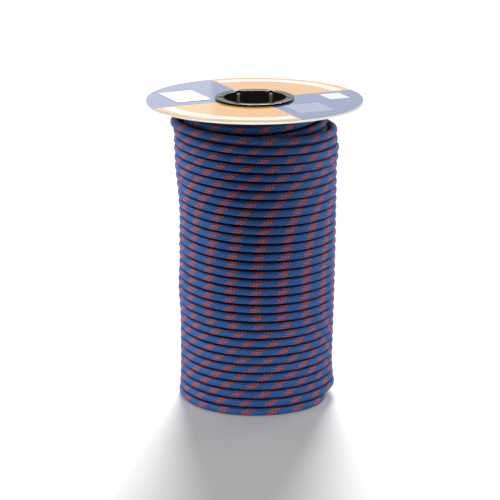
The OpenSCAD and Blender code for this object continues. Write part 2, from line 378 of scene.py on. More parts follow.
def tube_mesh(name, line, along, radius, lay, roll):
    """A closed tube, rolled about its line, with a map in lays along and turns around."""
    way = unit(np.gradient(line, axis=0))
    flat = line * (1, 1, 0)
    out = unit(flat - (flat * way).sum(-1, keepdims=True) * way)
    up = np.cross(out, way)
    turn = 2 * np.pi * (np.arange(SIDES) / SIDES - 0.5) + roll[:, None]
    ring = np.cos(turn)[..., None] * out[:, None] + np.sin(turn)[..., None] * up[:, None]
    points = (line[:, None] + radius * ring).reshape(-1, 3)
    rows, k = np.meshgrid(np.arange(len(line) - 1), np.arange(SIDES), indexing="ij")
    a, b = rows * SIDES + k, rows * SIDES + (k + 1) % SIDES
    quads = np.stack([a, a + SIDES, b + SIDES, b], -1).reshape(-1, 4)
    u = np.stack([along[rows], along[rows + 1], along[rows + 1], along[rows]], -1) / lay
    v = np.stack([k, k, k + 1, k + 1], -1) / SIDES
    mesh = bpy.data.meshes.new(name)
    last = (len(line) - 1) * SIDES
    caps = [list(range(SIDES))[::-1], [last + i for i in range(SIDES)]]
    mesh.from_pydata(points.tolist(), [], quads.tolist() + caps)
    mesh.polygons.foreach_set("use_smooth", [True] * len(quads) + [False] * 2)
    wraps = mesh.uv_layers.new(name="OFBake")
    cap_uv = np.full((2 * SIDES, 2), 0.5)
    flat_uv = np.concatenate([np.stack([u, v], -1).reshape(-1, 2), cap_uv])
    wraps.data.foreach_set("uv", flat_uv.astype(np.float32).ravel())
    return mesh


run = run_along(rope_line)
ring_centres, ring_along = evenly_along(rope_line, HIDDEN_STEP, SEEN_STEP, run[len(hidden_r) - 1])
ring_on = np.interp(ring_along, run, np.arange(len(run))) - len(hidden_r) - UNDER_ARC
bare_end = CROSS_ARC + 360
bare_above = ease(ring_on / BARE_EASE_ARC) * ease((bare_end - ring_on) / BARE_EASE_ARC)
foot_front = CROSS_ARC + OUTER_ARC - DIVE_BEARING
turns_up = np.clip((foot_front - ring_on) / 360, 0, OUTER_TURNS)
slip = -FIRST_SLIP - SLIP_PER_TURN * np.maximum(0, turns_up - SLIP_FROM_TURN)
map_along = ring_along + LAY * slip
rope_mesh = tube_mesh("climbing_rope", ring_centres, map_along, ROPE_R, LAY, BARE_ROLL * bare_above)
rope = new_object("climbing_rope", rope_mesh)
print("rope", round(float(ring_along[-1]), 2), "m,", len(rope.data.polygons), "faces")

# %% [markdown]
# ## Helpers for finishes
# A finish is a small network of nodes. These helpers add one node each and link what
# they are given, so that a finish reads like a sum. A value that is the same all over
# is typed straight into the shader's own socket.

# %% Node helpers
def link_or_set(tree, socket, value):
    """Links a node's output to a socket, or types a plain value into it."""
    if isinstance(value, bpy.types.NodeSocket):
        tree.links.new(value, socket)
    else:
        socket.default_value = value


def add_node(tree, kind, output=0, settings=(), **inputs):
    """Adds a node, sets its settings, feeds its inputs by name and returns one output."""
    node = tree.nodes.new(kind)
    for key, value in dict(settings).items():
        setattr(node, key, value)
    for key, value in inputs.items():
        link_or_set(tree, node.inputs[key.replace("_", " ")], value)
    return node.outputs[output]


def maths(tree, operation, *values):
    """One step of arithmetic on values or outputs."""
    node = tree.nodes.new("ShaderNodeMath")
    node.operation = operation
    for socket, value in zip(node.inputs, values):
        link_or_set(tree, socket, value)
    return node.outputs[0]


def plus(tree, first, second):
    return maths(tree, "ADD", first, second)


def minus(tree, first, second):
    return maths(tree, "SUBTRACT", first, second)


def times(tree, first, second):
    return maths(tree, "MULTIPLY", first, second)


def fade(tree, value, low, high, to_low=0.0, to_high=1.0):
    """A smooth change from to_low to to_high while value goes from low to high."""
    settings = {"interpolation_type": "SMOOTHSTEP"}
    node = add_node(tree, "ShaderNodeMapRange", settings=settings, Value=value).node
    ends = {"From Min": low, "From Max": high, "To Min": to_low, "To Max": to_high}
    for key, number in ends.items():
        link_or_set(tree, node.inputs[key], number)
    return node.outputs[0]


def mix_colours(tree, share, first, second):
    """The first colour where share is 0, the second where it is 1."""
    node = tree.nodes.new("ShaderNodeMix")
    node.data_type = "RGBA"
    for index, value in ((0, share), (6, first), (7, second)):
        link_or_set(tree, node.inputs[index], value)
    return node.outputs[2]


def tinted(tree, pattern, low, high, first, second):
    """The first colour where a pattern is at low, the second where it is at high."""
    return mix_colours(tree, fade(tree, pattern, low, high), first, second)


def mix_values(tree, share, low, high):
    """low where share is 0, high where it is 1."""
    return plus(tree, low, times(tree, share, minus(tree, high, low)))


def noise(tree, place, scale, detail=3.0, stretch=(1, 1, 1)):
    """A cloudy pattern from 0 to 1 with so many clouds to the metre."""
    spread = add_node(tree, "ShaderNodeMapping", Vector=place, Scale=stretch)
    return add_node(tree, "ShaderNodeTexNoise", Vector=spread, Scale=scale, Detail=detail)


def new_finish(name, **constants):
    """A material with a principled shader whose constants are set on its own sockets."""
    finish = bpy.data.materials.new(name)
    finish.use_nodes = True
    shader = finish.node_tree.nodes["Principled BSDF"]
    for key, value in constants.items():
        shader.inputs[key.replace("_", " ")].default_value = value
    return finish, finish.node_tree, shader


def colour_with(tree, shader, colour):
    """Makes a colour the finish's own."""
    tree.links.new(colour, shader.inputs["Base Color"])


def raise_surface(tree, shader, height, distance, strength=1.0):
    """Lifts the look of a surface by distance, in metres, where height is 1."""
    bump = add_node(tree, "ShaderNodeBump", Height=height, Distance=distance, Strength=strength)
    tree.links.new(bump, shader.inputs["Normal"])


def dress(piece, finish):
    """Gives a piece its one finish."""
    piece.data.materials.clear()
    piece.data.materials.append(finish)


print("helpers ready")

# %% [markdown]
# ## The braided sheath
# The sheath is braided from 32 yarns that run in pairs: eight pairs spiral one way and
# eight the other, each over one pair and under the next. Every place where a pair comes
# to the top is a small float with two plies side by side, which gives the fine rows of
# chevrons along the rope. Three neighbouring pairs of one set are orange, so a slanted
# group of orange dots comes round once in every lay.
# Yarns modelled one by one would need millions of faces, so the pattern is worked out
# in the finish: a place's distance along and around the rope tells which two pairs
# cross there, and an odd or even count which one is on top. The low places between
# the floats are painted darker, as their shade.
# Where two turns press together hardly any light gets between the yarns, so that shade
# is painted into the colour: the sheath darkens towards its upper and under sides and
# keeps its full colour outwards.

# %% Braid
PAIRS = 8
ORANGE_PAIRS = 3
PLY_DEPTH = -0.22
FLOAT_ROUNDING = -1.6
FLOAT_HEIGHT = 0.0003
DOT_FROM, DOT_TO = 0.19, 0.29


def along_and_around(tree):
    """The place on the sheath: lays along the rope and turns around it."""
    place = add_node(tree, "ShaderNodeUVMap", settings={"uv_map": "OFBake"})
    split = add_node(tree, "ShaderNodeSeparateXYZ", Vector=place).node
    return split.outputs[0], split.outputs[1]


def braid(tree):
    """Whether the pair on top is orange, the place across and along its float, and around."""
    u, v = along_and_around(tree)
    z_place = times(tree, minus(tree, u, v), PAIRS)
    s_place = times(tree, plus(tree, u, v), PAIRS)
    z_pair = maths(tree, "ROUND", z_place)
    s_pair = maths(tree, "ROUND", s_place)
    z_off = minus(tree, z_place, z_pair)
    s_off = minus(tree, s_place, s_pair)
    crossing = maths(tree, "FLOORED_MODULO", plus(tree, z_pair, s_pair), 2)
    z_on_top = maths(tree, "LESS_THAN", crossing, 0.5)
    pair_number = maths(tree, "FLOORED_MODULO", z_pair, PAIRS)
    in_group = maths(tree, "LESS_THAN", pair_number, ORANGE_PAIRS - 0.5)
    is_orange = times(tree, in_group, z_on_top)
    across = mix_values(tree, z_on_top, s_off, z_off)
    along = mix_values(tree, z_on_top, z_off, s_off)
    return is_orange, across, along, v


SHEATH_BLUE = (0.034, 0.108, 0.315, 1)
SHEATH_BLUE_SHADE = (0.0035, 0.01, 0.033, 1)
SHEATH_ORANGE = (0.43, 0.068, 0.002, 1)
SHEATH_ORANGE_SHADE = (0.16, 0.02, 0.004, 1)
# painted shade for the grooves where the turns touch
GROOVE_PAINTED_SHADE = (0.004, 0.005, 0.008, 1)
sheath, tree, shader = new_finish("braided_sheath", Roughness=0.55, Specular_IOR_Level=0.04)
is_orange, across, along, around = braid(tree)
crown = maths(tree, "COSINE", times(tree, along, math.pi))
plies = maths(tree, "COSINE", times(tree, across, 4 * math.pi))
rounded = times(tree, times(tree, across, across), FLOAT_ROUNDING)
height = plus(tree, plus(tree, crown, rounded), times(tree, plies, PLY_DEPTH))
out_from_middle = plus(tree, times(tree, across, across), times(tree, along, along))
dot = times(tree, is_orange, fade(tree, out_from_middle, DOT_FROM, DOT_TO, 1.0, 0.0))
# painted shade: each colour darkens where the braid dips between its floats
blue = tinted(tree, height, 0.0, 1.0, SHEATH_BLUE_SHADE, SHEATH_BLUE)
orange = tinted(tree, height, -0.2, 0.7, SHEATH_ORANGE_SHADE, SHEATH_ORANGE)
coloured = mix_colours(tree, dot, blue, orange)
# painted shade: the upper and under sides of every turn are coloured nearly black
painted_shade_above = fade(tree, around, 0.6, 0.74, 1.0, 0.3)
painted_shade_below = fade(tree, around, 0.28, 0.36, 0.3, 1.0)
outside_painted_shade = times(tree, painted_shade_above, painted_shade_below)
colour_with(tree, shader, mix_colours(tree, outside_painted_shade, GROOVE_PAINTED_SHADE, coloured))
raise_surface(tree, shader, height, FLOAT_HEIGHT)
dress(rope, sheath)
print("sheath has", len(tree.nodes), "nodes")

# %% [markdown]
# ## Turned parts
# The tube, the flange, the hubs and the band on the rope's end are all round, so each
# is half a section spun round its axis, as on a lathe. A screw modifier would do the
# same, but a function gives a closed mesh at once and serves for all. Real edges are
# never knife sharp, so an arc replaces every corner and catches a thin line of light.

# %% Lathe
def eased_section(section, reach, steps=3):
    """The closed section again, each corner replaced by an arc that starts reach before it."""
    points = np.array(section, float)
    eased = []
    for before, corner, after in zip(np.roll(points, 1, 0), points, np.roll(points, -1, 0)):
        to_before, to_after = np.linalg.norm(before - corner), np.linalg.norm(after - corner)
        cut = min(reach, 0.45 * to_before, 0.45 * to_after)
        start = corner + cut * (before - corner) / to_before
        stop = corner + cut * (after - corner) / to_after
        for t in np.linspace(0, 1, steps + 1):
            eased.append((1 - t) ** 2 * start + 2 * t * (1 - t) * corner + t * t * stop)
    return np.array(eased)


def face_outwards(mesh):
    """Turns the normal of every face outwards."""
    shell = bmesh.new()
    shell.from_mesh(mesh)
    bmesh.ops.recalc_face_normals(shell, faces=shell.faces)
    shell.to_mesh(mesh)
    shell.free()


def spun(name, section, segments=192):
    """A closed solid of revolution about Z from a closed section of (radius, height)."""
    turn = 2 * np.pi * np.arange(segments) / segments
    around = np.stack([np.cos(turn), np.sin(turn)], -1)
    flat = section[None, :, :1] * around[:, None]
    high = np.broadcast_to(section[None, :, 1:], (segments, len(section), 1))
    points = np.concatenate([flat, high], -1).reshape(-1, 3)
    n = len(section)
    s, k = np.meshgrid(np.arange(segments), np.arange(n), indexing="ij")
    s2, k2 = (s + 1) % segments, (k + 1) % n
    quads = np.stack([s * n + k, s2 * n + k, s2 * n + k2, s * n + k2], -1).reshape(-1, 4)
    mesh = bpy.data.meshes.new(name)
    mesh.from_pydata(points.tolist(), [], quads.tolist())
    face_outwards(mesh)
    return mesh


def turned_piece(name, section, corner, steps=3, segments=192):
    """A piece spun from a section with eased corners."""
    return new_object(name, spun(name, eased_section(section, corner, steps), segments))


def smooth_round_edges(mesh, degrees=40):
    """Shades a mesh smoothly, but for the edges that turn more sharply than this."""
    mesh.polygons.foreach_set("use_smooth", [True] * len(mesh.polygons))
    mesh.set_sharp_from_angle(angle=math.radians(degrees))


print("lathe ready")

# %% [markdown]
# ### Core tube
# The rope is wound on a stiff cardboard tube, which stands on the lower hub's collar
# and carries the flange on its upper end. It is a plain spun ring: it could be modelled
# ply by ply, but only the bore and the cut ends are ever seen, so a finish does that.

# %% Core tube
TUBE_BORE_R = 0.0382
COLLAR_T = 0.0022
tube_section = [
    (TUBE_BORE_R, COLLAR_T), (TUBE_R, COLLAR_T), (TUBE_R, REEL_H), (TUBE_BORE_R, REEL_H)]
tube = turned_piece("core_tube_wound_board", tube_section, corner=0.0005)
smooth_round_edges(tube.data)
print("core tube", len(tube.data.polygons), "faces")

# %% [markdown]
# #### Wound board
# Reel cores are wound from strips of grey-brown board, glued in a long spiral. The
# outside and the bore keep a faint spiral seam, the surface is fibrous, and the cut
# ends show the plies as fine rings. Radius, angle and height are enough to place all
# three, so no map has to be unwrapped.

# %% Wound board
STRIP_WIDTH = 0.11
PLY_T = 0.0007


def polar(tree, place):
    """Radius, angle in turns and height of an object-space place."""
    split = add_node(tree, "ShaderNodeSeparateXYZ", Vector=place).node
    x, y, z = split.outputs[0], split.outputs[1], split.outputs[2]
    xx, yy = times(tree, x, x), times(tree, y, y)
    radius = maths(tree, "SQRT", plus(tree, xx, yy))
    turns = maths(tree, "DIVIDE", maths(tree, "ARCTAN2", y, x), 2 * math.pi)
    return radius, turns, z


def object_place(tree):
    """The place in the piece's own space, in metres."""
    return add_node(tree, "ShaderNodeTexCoord", 3)


board, tree, shader = new_finish("spiral_wound_board", Roughness=0.85, Sheen_Weight=0.1)
place = object_place(tree)
radius, turns, z = polar(tree, place)
spiral = plus(tree, maths(tree, "DIVIDE", z, STRIP_WIDTH), turns)
seam = maths(tree, "ABSOLUTE", minus(tree, maths(tree, "FRACT", spiral), 0.5))
at_seam = fade(tree, seam, 0.0, 0.012, 1.0, 0.0)
fibres = noise(tree, place, 300, 5, (1, 1, 0.25))
blotches = noise(tree, place, 40, 2)
kraft = tinted(tree, blotches, 0.35, 0.65, (0.34, 0.23, 0.12, 1), (0.45, 0.32, 0.18, 1))
kraft = mix_colours(tree, fade(tree, fibres, 0.3, 0.7, 0.0, 0.5), kraft, (0.16, 0.1, 0.055, 1))
kraft = mix_colours(tree, times(tree, at_seam, 0.6), kraft, (0.1, 0.06, 0.035, 1))
ply = maths(tree, "SINE", times(tree, radius, 2 * math.pi / PLY_T))
end_face = fade(tree, z, COLLAR_T + 0.0002, COLLAR_T + 0.0006, 1.0, 0.0)
plies = times(tree, end_face, fade(tree, ply, -0.2, 1.0, 0.0, 0.4))
colour_with(tree, shader, mix_colours(tree, plies, kraft, (0.12, 0.075, 0.04, 1)))
relief = minus(tree, times(tree, fibres, 0.5), at_seam)
raise_surface(tree, shader, relief, 0.0003, 0.7)
dress(tube, board)
print("wound board has", len(tree.nodes), "nodes")

# %% [markdown]
# ### Flange
# The flange is a disc with a hole, stamped out of stiff board, that keeps the turns
# from slipping off the top. A cylinder with a hole cut in it would need its edges
# cleaned afterwards; the spun section has them eased from the start.

# %% Flange
FLANGE_R = 0.12
FLANGE_TOP = REEL_H + 0.0026
FLANGE_HOLE_R = 0.0387
flange_section = [
    (FLANGE_HOLE_R, REEL_H), (FLANGE_R, REEL_H),
    (FLANGE_R, FLANGE_TOP), (FLANGE_HOLE_R, FLANGE_TOP)]
flange = turned_piece("flange_disc", flange_section, corner=0.0006)
smooth_round_edges(flange.data)
print("flange", len(flange.data.polygons), "faces")

# %% [markdown]
# #### White-lined board
# Both faces are smooth and faintly glossy; the cut edge is creamy, with the layers of
# the board showing as fine lines. One finish does for both: the distance from the axis
# tells the cut edge from the faces, so the mesh needn't be split between materials.

# %% White-lined board
BOARD_LAYER_T = 0.0004
lining, tree, shader = new_finish(
    "white_lined_board", Roughness=0.5, Coat_Weight=0.25, Coat_Roughness=0.3)
place = object_place(tree)
radius, _, z = polar(tree, place)
pulp = noise(tree, place, 900, 4)
mottle = noise(tree, place, 60, 3)
layers = maths(tree, "SINE", times(tree, z, 2 * math.pi / BOARD_LAYER_T))
cut_edge = fade(tree, radius, FLANGE_R - 0.0004, FLANGE_R - 0.0001)
face = tinted(tree, mottle, 0.35, 0.65, (0.88, 0.87, 0.82, 1), (0.93, 0.92, 0.88, 1))
grey = tinted(tree, layers, -1, 1, (0.9, 0.88, 0.8, 1), (0.96, 0.95, 0.89, 1))
edge = mix_colours(tree, fade(tree, pulp, 0.3, 0.7, 0.0, 0.25), grey, (0.8, 0.77, 0.68, 1))
colour_with(tree, shader, mix_colours(tree, cut_edge, face, edge))
tree.links.new(fade(tree, mottle, 0.3, 0.7, 0.42, 0.58), shader.inputs["Roughness"])
raise_surface(tree, shader, plus(tree, pulp, times(tree, layers, cut_edge)), 0.00006, 0.6)
dress(flange, lining)
print("lined board has", len(tree.nodes), "nodes")

# %% [markdown]
# ### Hubs
# Each hub is one moulding in black plastic: a thin collar that sits on the flange and
# a split sleeve that springs into the tube. The six slots run from the sleeve a little
# way into the collar. The section is spun, three bars are cut out of it, and the cut
# edges get a small bevel, as the edges of a mould have. Cutting keeps the round faces
# true, and the second hub is the first one turned over, as both come from one mould.

# %% Hubs
COLLAR_R = 0.0435
SLEEVE_R = 0.0381
BORE_R = 0.0342
SLOT_W = 0.006
SLOT_END_R = SLEEVE_R + 0.28 * (COLLAR_R - SLEEVE_R)
SLEEVE_END = COLLAR_T + 0.032
LEAD_IN, LEAD_IN_LEN = 0.0012, 0.0024
BEVEL = 0.00025
LABEL_TOP = FLANGE_TOP + 0.0003
hub_section = [
    (BORE_R, 0), (COLLAR_R, 0), (COLLAR_R, COLLAR_T), (SLEEVE_R, COLLAR_T),
    (SLEEVE_R, SLEEVE_END - LEAD_IN_LEN), (SLEEVE_R - LEAD_IN, SLEEVE_END), (BORE_R, SLEEVE_END)]


def baked_copy(piece):
    """The mesh of a piece with its modifiers applied."""
    graph = bpy.context.evaluated_depsgraph_get()
    return bpy.data.meshes.new_from_object(piece.evaluated_get(graph))


def slotted(piece):
    """Cuts three bars through the axis, which leaves six slots, and bevels the cut edges."""
    for angle in (0, 60, 120):
        bar = bpy.data.meshes.new("slot_bar")
        cutter = bmesh.new()
        bmesh.ops.create_cube(cutter, size=1.0)
        bmesh.ops.scale(cutter, vec=(2 * SLOT_END_R, SLOT_W, 0.2), verts=cutter.verts)
        cutter.to_mesh(bar)
        cutter.free()
        tool = new_object("slot_bar", bar)
        tool.rotation_euler.z = math.radians(angle)
        cut = piece.modifiers.new("slot", "BOOLEAN")
        cut.operation, cut.solver, cut.object = "DIFFERENCE", "EXACT", tool
        bpy.context.view_layer.update()
        piece.data = baked_copy(piece)
        piece.modifiers.clear()
        bpy.data.objects.remove(tool)
    bevel = piece.modifiers.new("edges", "BEVEL")
    bevel.width, bevel.segments, bevel.angle_limit = BEVEL, 2, math.radians(50)
    bpy.context.view_layer.update()
    piece.data = baked_copy(piece)
    piece.modifiers.clear()
    smooth_round_edges(piece.data, 35)


bottom_hub = turned_piece("bottom_hub_moulding", hub_section, corner=0.0006)
slotted(bottom_hub)
top_mesh = bottom_hub.data.copy()
turned_over = bmesh.new()
turned_over.from_mesh(top_mesh)
for vertex in turned_over.verts:
    vertex.co.z = LABEL_TOP + COLLAR_T - vertex.co.z
bmesh.ops.reverse_faces(turned_over, faces=turned_over.faces)
turned_over.to_mesh(top_mesh)
turned_over.free()
top_hub = new_object("top_hub_moulding", top_mesh)
print("hub", len(top_hub.data.polygons), "faces")

# %% [markdown]
# #### Moulded black plastic
# Black plastic leaves the mould half glossy, with faint flow lines round the axis. A
# noise stretched round the axis gives them, in the colour as well as in the gloss,
# where a plain grain would look like cast metal.

# %% Moulded black plastic
LINES_PER_M = 900
plastic, tree, shader = new_finish(
    "moulded_black_plastic", Roughness=0.16, Specular_IOR_Level=0.045)
place = object_place(tree)
radius, turns, z = polar(tree, place)
lines = add_node(tree, "ShaderNodeCombineXYZ", X=times(tree, radius, LINES_PER_M), Y=turns, Z=z)
streaks = add_node(tree, "ShaderNodeTexNoise", Vector=lines, Scale=1.6, Detail=3.0)
grain = noise(tree, place, 1500, 2)
black = tinted(tree, streaks, 0.35, 0.65, (0.012, 0.012, 0.011, 1), (0.028, 0.028, 0.026, 1))
colour_with(tree, shader, black)
tree.links.new(fade(tree, streaks, 0.3, 0.7, 0.1, 0.18), shader.inputs["Roughness"])
raise_surface(tree, shader, plus(tree, grain, times(tree, streaks, 0.6)), 0.00002, 0.5)
dress(top_hub, plastic)
dress(bottom_hub, plastic)
print("plastic has", len(tree.nodes), "nodes")

# %% [markdown]
# ### Printed label
# A round paper label covers the flange almost to its edge. It is printed in two
# colours, quarter by quarter, with a white strip round each orange quarter and a clear
# gloss over the print, which goes pale where it mirrors the bright room. The strips
# and panels are left blank, and plain ruled lines fill the place for notes.
# The solid label keeps its shape and only gets a finish. A picture could be laid over
# it, but quarters, strips and boxes follow from two distances, px and py, measured
# along the lines between the quarters, and drawn that way they stay sharp close by.

# %% Label print
LABEL_TURN = math.radians(25)
STRIP_IN, STRIP_OUT = 0.0982, 0.1102
STRIP_END, STRIP_END_SOFT = 0.0032, 0.0036
PANEL_BOX = (0.0745, 0.0985, -0.038, -0.009)
NOTES_BOX = (0.013, 0.054, -0.09, -0.047)
INK_EDGE = 0.000006
RULE_STEP = 0.0033
BARE_PAPER = (0.8, 0.8, 0.78, 1)
PANEL_GREY = (0.56, 0.59, 0.62, 1)
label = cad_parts["flange_label"]


def within(tree, value, low, high, soft=0.00015):
    """1 between low and high, with edges as soft as printed ink."""
    rise = fade(tree, value, low - soft, low + soft)
    return times(tree, rise, fade(tree, value, high - soft, high + soft, 1.0, 0.0))


def within_box(tree, px, py, box):
    """1 inside a box on the label, given by its lowest and highest px and py."""
    low_x, high_x, low_y, high_y = box
    return times(tree, within(tree, px, low_x, high_x), within(tree, py, low_y, high_y))


print_finish, tree, shader = new_finish(
    "printed_label", Roughness=0.6, Specular_IOR_Level=0.0, Coat_Weight=1.0, Coat_Roughness=0.06)
place = object_place(tree)
split = add_node(tree, "ShaderNodeSeparateXYZ", Vector=place).node
x, y = split.outputs[0], split.outputs[1]
radius, _, _ = polar(tree, place)
cosine, sine = math.cos(LABEL_TURN), math.sin(LABEL_TURN)
px = plus(tree, times(tree, x, cosine), times(tree, y, sine))
py = minus(tree, times(tree, y, cosine), times(tree, x, sine))
orange_quarter = fade(tree, times(tree, px, py), -INK_EDGE, INK_EDGE)
from_lines = maths(tree, "MINIMUM", maths(tree, "ABSOLUTE", px), maths(tree, "ABSOLUTE", py))
strip_ends = fade(tree, from_lines, STRIP_END, STRIP_END_SOFT)
strip = times(tree, within(tree, radius, STRIP_IN, STRIP_OUT), strip_ends)
strip = times(tree, strip, orange_quarter)
panel = within_box(tree, px, py, PANEL_BOX)
notes = within_box(tree, px, py, NOTES_BOX)
in_row = maths(tree, "FRACT", maths(tree, "DIVIDE", py, RULE_STEP))
ruled = maths(tree, "ABSOLUTE", minus(tree, in_row, 0.5))
notes = times(tree, notes, fade(tree, ruled, 0.08, 0.2, 0.6, 0.0))
ink = noise(tree, place, 1200, 3)
ink_orange = tinted(tree, ink, 0.3, 0.7, (0.55, 0.245, 0.028, 1), (0.61, 0.28, 0.038, 1))
ink_blue = tinted(tree, ink, 0.3, 0.7, (0.035, 0.085, 0.225, 1), (0.05, 0.105, 0.265, 1))
inks = mix_colours(tree, orange_quarter, ink_blue, ink_orange)
bare = maths(tree, "MAXIMUM", strip, notes)
printed = mix_colours(tree, bare, inks, BARE_PAPER)
colour_with(tree, shader, mix_colours(tree, panel, printed, PANEL_GREY))
raise_surface(tree, shader, noise(tree, place, 500, 4), 0.00004, 0.5)
dress(label, print_finish)
print("label print has", len(tree.nodes), "nodes")

# %% [markdown]
# ### Write-on sticker
# A small uncoated paper sticker is stuck on the blue quarter, for the buyer to write
# on. It has rounded corners and its edges lift a hair. It could be a white patch in
# the print, but a thin card of its own throws the thin shadow that shows it is stuck on.

# %% Sticker
STICKER_LONG = 0.0539
STICKER_WIDE = 0.04
STICKER_T = 0.0002
STICKER_CORNER = 0.0015
STICKER_LIFT = 0.0001
STICKER_FROM_HUB = 0.0078
STICKER_BEARING = math.radians(146)


def rounded_card(name, length, width, thickness, corner, lift, steps=6):
    """A thin card with round corners and a slightly raised rim."""
    outline = []
    for cx, cy, start in ((1, 1, 0), (-1, 1, 90), (-1, -1, 180), (1, -1, 270)):
        for angle in np.radians(np.linspace(start, start + 90, steps)):
            outline.append((
                cx * (length / 2 - corner) + corner * math.cos(angle),
                cy * (width / 2 - corner) + corner * math.sin(angle)))
    outline = np.array(outline)
    n, rings = len(outline), [(0.9, 0.0), (1.0, lift)]
    points, faces = [], []
    for z in (0, thickness):
        for scale, rise in rings:
            points += [(x * scale, y * scale, z + rise) for x, y in outline]
    for k in range(n):
        j = (k + 1) % n
        faces.append((k, j, n + j, n + k))
        faces.append((2 * n + k, 3 * n + k, 3 * n + j, 2 * n + j))
        faces.append((n + k, n + j, 3 * n + j, 3 * n + k))
    faces += [tuple(range(n))[::-1], tuple(range(2 * n, 3 * n))]
    mesh = bpy.data.meshes.new(name)
    mesh.from_pydata(points, [], faces)
    face_outwards(mesh)
    return new_object(name, mesh)


sticker = rounded_card(
    "write_on_sticker_paper", STICKER_LONG, STICKER_WIDE, STICKER_T, STICKER_CORNER, STICKER_LIFT)
sticker_turn = LABEL_TURN + STICKER_BEARING
sticker_r = COLLAR_R + STICKER_FROM_HUB + STICKER_LONG / 2
sticker.location = (
    sticker_r * math.cos(sticker_turn), sticker_r * math.sin(sticker_turn), LABEL_TOP)
sticker.rotation_euler.z = LABEL_TURN + math.radians(90)
print("sticker at", [round(v, 4) for v in sticker.location])

# %% [markdown]
# #### Uncoated paper
# Paper made to be written on is matt and slightly toothed. Two noises do for it: a
# wide one for the cloudy white and a fine one for the tooth, which lifts the surface.

# %% Uncoated paper
paper, tree, shader = new_finish("uncoated_paper", Roughness=0.75)
place = object_place(tree)
tooth = noise(tree, place, 1400, 4)
wash = noise(tree, place, 80, 2)
white = tinted(tree, wash, 0.3, 0.7, (0.84, 0.84, 0.82, 1), (0.9, 0.9, 0.88, 1))
fibre = fade(tree, tooth, 0.3, 0.7, 0.0, 0.15)
colour_with(tree, shader, mix_colours(tree, fibre, white, (0.7, 0.7, 0.68, 1)))
raise_surface(tree, shader, tooth, 0.00005, 0.5)
dress(sticker, paper)
print("paper has", len(tree.nodes), "nodes")

# %% [markdown]
# ### Tape at the rope's start
# A turn of creped paper tape holds the rope's start against the tube. It lies under
# the first layer, and its solid is right as it is, so only its finish is made: fine
# wrinkles that run across the tape.

# %% Tape
WRINKLES_PER_TURN = 260
WRINKLES_UP_PER_M = 60
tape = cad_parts["start_tape"]
crepe, tree, shader = new_finish("creped_tape", Roughness=0.6, Coat_Weight=0.1)
place = object_place(tree)
_, turns, z = polar(tree, place)
across_tape = add_node(
    tree, "ShaderNodeCombineXYZ",
    X=times(tree, turns, WRINKLES_PER_TURN), Y=times(tree, z, WRINKLES_UP_PER_M))
wrinkles = add_node(tree, "ShaderNodeTexNoise", Vector=across_tape, Scale=2.0, Detail=4.0)
cream = tinted(tree, wrinkles, 0.3, 0.7, (0.62, 0.54, 0.36, 1), (0.78, 0.72, 0.55, 1))
colour_with(tree, shader, cream)
raise_surface(tree, shader, wrinkles, 0.0002, 0.8)
dress(tape, crepe)
print("tape finish has", len(tree.nodes), "nodes")

# %% [markdown]
# ### The free end
# The cut end is melted so that the core and the sheath fuse, and a clear-white shrink
# band holds the sheath. The band is a thin sleeve with a slight waist where it has
# shrunk between the strands; the tip is a dull cap. Both are spun and laid on the end
# of the line, and the tip is then pushed in and out a little, since no lathe made it.

# %% Shrink band and melted tip
BAND_LEN = 0.018
TIP_LEN = 0.003
WAIST, WAISTS = 0.00012, 3
LUMPINESS = 0.018
AXIS_GAP = 0.00001
END_SEGMENTS = 48
end_way = (end_to - end_from) / np.linalg.norm(end_to - end_from)
band_in, band_out = ROPE_R + 0.00003, ROPE_R + 0.00048
stations = np.linspace(0, 1, 13)
waist = WAIST * np.cos(stations * WAISTS * 2 * math.pi)
outside = [(band_out - 0.0001 + w, BAND_LEN * t) for t, w in zip(stations, waist)]
band_section = outside + [(band_in, BAND_LEN), (band_in, 0)]
band = turned_piece("rope_end_shrink_band", band_section, 0.0002, 2, END_SEGMENTS)
smooth_round_edges(band.data, 60)
tip_section = [
    (AXIS_GAP, -0.0004), (ROPE_R - 0.0001, -0.0004), (ROPE_R, 0.0006), (ROPE_R - 0.0004, 0.0017),
    (ROPE_R - 0.0016, 0.0026), (0.0012, TIP_LEN), (AXIS_GAP, TIP_LEN - 0.0002)]
tip = turned_piece("rope_end_melted_tip", tip_section, 0.0009, 4, END_SEGMENTS)
for vertex in tip.data.vertices:
    swirl = math.sin(5 * math.atan2(vertex.co.y, vertex.co.x)) + math.sin(900 * vertex.co.z)
    vertex.co.x *= 1 - LUMPINESS * (1 + swirl / 2)
    vertex.co.y *= 1 - LUMPINESS * (1 + swirl / 2)
smooth_round_edges(tip.data, 60)
yaw = math.atan2(end_way[1], end_way[0])
for piece, back in ((band, BAND_LEN), (tip, 0)):
    piece.rotation_euler = (0, math.pi / 2, yaw)
    piece.location = end_to - back * end_way
print("free end at", np.round(end_to, 4).tolist())

# %% [markdown]
# #### Shrink tube and melted nylon
# Shrink tube is milky and smooth, melted nylon dark and lumpy. In each, one noise
# drives both colour and relief, which is enough for such small pieces.

# %% Shrink tube and melted nylon
shrunk, tree, shader = new_finish(
    "shrink_tube", Roughness=0.3, Coat_Weight=0.3, Coat_Roughness=0.15)
place = object_place(tree)
ripple = noise(tree, place, 350, 3)
milky = tinted(tree, ripple, 0.3, 0.7, (0.74, 0.74, 0.72, 1), (0.84, 0.84, 0.83, 1))
colour_with(tree, shader, milky)
raise_surface(tree, shader, ripple, 0.0001, 0.5)
dress(band, shrunk)
melted, tree, shader = new_finish("melted_nylon", Roughness=0.4)
place = object_place(tree)
lumps = noise(tree, place, 700, 4)
burnt = tinted(tree, lumps, 0.35, 0.7, (0.012, 0.02, 0.05, 1), (0.04, 0.07, 0.16, 1))
colour_with(tree, shader, burnt)
raise_surface(tree, shader, lumps, 0.0003, 0.8)
dress(tip, melted)
print("end dressed in", shrunk.name, "and", melted.name)
